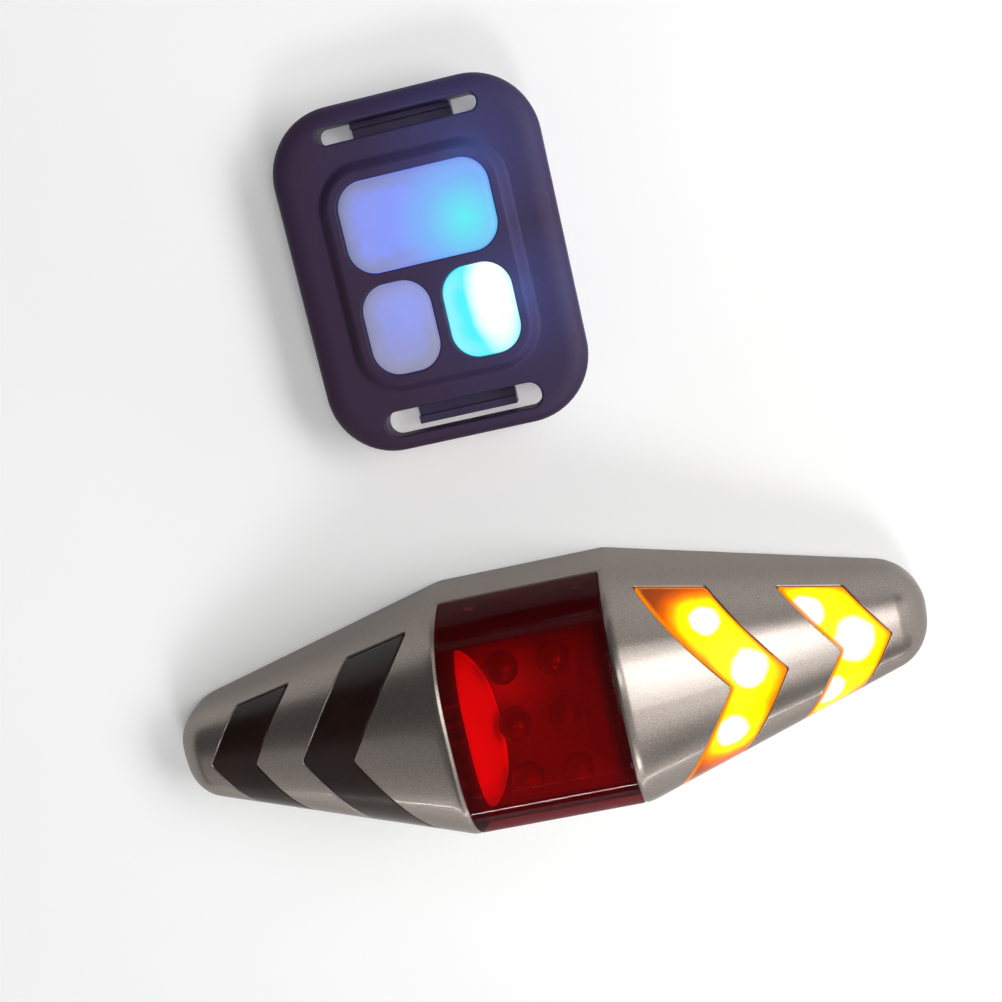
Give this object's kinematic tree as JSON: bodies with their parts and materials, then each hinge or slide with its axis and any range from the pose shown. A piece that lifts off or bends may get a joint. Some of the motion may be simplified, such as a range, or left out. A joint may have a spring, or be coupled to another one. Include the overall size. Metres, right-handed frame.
{
  "type": "bicycle turn signal light",
  "caption": "Spindle-shaped tail light with a wrap-around red lens and amber chevron windows on each wing, lying beside its wireless handlebar remote with lit keys.",
  "frame": {"origin": "middle of the light's flat back face, midway between its two mounting inserts", "axes": "+X along the light from its left tip to its right tip, +Y across the light towards the remote, +Z out of the light's front"},
  "size_m": [0.127, 0.117, 0.031],
  "materials": {
    "housing_paint": "metallic silver paint on moulded plastic",
    "red_lens": "clear red, polished",
    "amber_lens_lit": "clear amber, polished, lit from behind",
    "amber_lens": "clear dark amber, polished, unlit",
    "reflector_white": "glossy white moulding",
    "board_green": "solder mask",
    "board_blue": "solder mask",
    "chip_black": "moulded epoxy",
    "red_lamp": "clear epoxy dome",
    "amber_lamp": "clear epoxy dome",
    "lead_red": "insulated wire",
    "antenna_copper": "enamelled wire",
    "switch_grey": "moulded",
    "back_plastic": "fine spark-eroded texture",
    "seal_rubber": "smooth",
    "screw_steel": "zinc plated",
    "insert_brass": "turned",
    "cell_sleeve": "plain foil sleeve with bare metal ends",
    "contact_nickel": "nickel plated",
    "coin_steel": "bright nickel plated",
    "remote_plastic": "satin",
    "key_silicone": "translucent, lit blue from below",
    "remote_lamp": "clear epoxy"
  },
  "bodies": {
    "light": {"front_housing": "housing_paint", "red_lens": "red_lens", "left_inner_chevron": "amber_lens", "left_outer_chevron": "amber_lens", "right_inner_chevron": "amber_lens_lit", "right_outer_chevron": "amber_lens_lit", "brake_reflector": "reflector_white", "main_board": "board_green", "main_board_chips": "chip_black", "red_leds": "red_lamp", "left_signal_board": "board_green", "right_signal_board": "board_green", "left_signal_leds": "amber_lamp", "right_signal_leds": "amber_lamp", "signal_leads": "lead_red", "receiver_board": "board_blue", "receiver_antenna": "antenna_copper", "switch_board": "board_green", "power_switch": "switch_grey", "back_cover": "back_plastic", "housing_seal": "seal_rubber", "housing_screws": "screw_steel", "mount_inserts": "insert_brass", "aaa_cells": "cell_sleeve", "battery_contacts": "contact_nickel"},
    "power_button": {"power_button": "seal_rubber"},
    "battery_door": {"battery_door": "back_plastic", "door_seal": "seal_rubber"},
    "remote": {"remote_front": "remote_plastic", "remote_back": "remote_plastic", "remote_board": "board_green", "remote_switches": "switch_grey", "remote_leds": "remote_lamp", "remote_chip": "chip_black", "coin_cell": "coin_steel", "coin_clip": "contact_nickel", "remote_screws": "screw_steel"},
    "main_key": {"main_key": "key_silicone"},
    "left_key": {"left_key": "key_silicone"},
    "right_key": {"right_key": "key_silicone"},
    "coin_door": {"coin_door": "remote_plastic", "coin_door_seal": "seal_rubber"}
  },
  "joints": [
    {"name": "power_button_press", "type": "slide", "parent": "light", "child": "power_button", "axis": [0, 0, 1], "range_m": [0, 0.0006], "stiffness_N_per_m": 500},
    {"name": "battery_door_swing", "type": "hinge", "parent": "light", "child": "battery_door", "pos_m": [-0.02715, 0, 0.0001], "axis": [0, 1, 0], "range_deg": [0, 75]},
    {"name": "remote_lift", "type": "slide", "parent": "light", "child": "remote", "axis": [0, 0, 1], "range_m": [0, 0.15]},
    {"name": "main_key_press", "type": "slide", "parent": "remote", "child": "main_key", "axis": [0, 0, -1], "range_m": [0, 0.0008], "stiffness_N_per_m": 500},
    {"name": "left_key_press", "type": "slide", "parent": "remote", "child": "left_key", "axis": [0, 0, -1], "range_m": [0, 0.0008], "stiffness_N_per_m": 500},
    {"name": "right_key_press", "type": "slide", "parent": "remote", "child": "right_key", "axis": [0, 0, -1], "range_m": [0, 0.0008], "stiffness_N_per_m": 500},
    {"name": "coin_door_turn", "type": "hinge", "parent": "remote", "child": "coin_door", "pos_m": [-0.0021, 0.0705, 0], "axis": [0, 0, 1], "range_deg": [0, 30]}
  ]
}
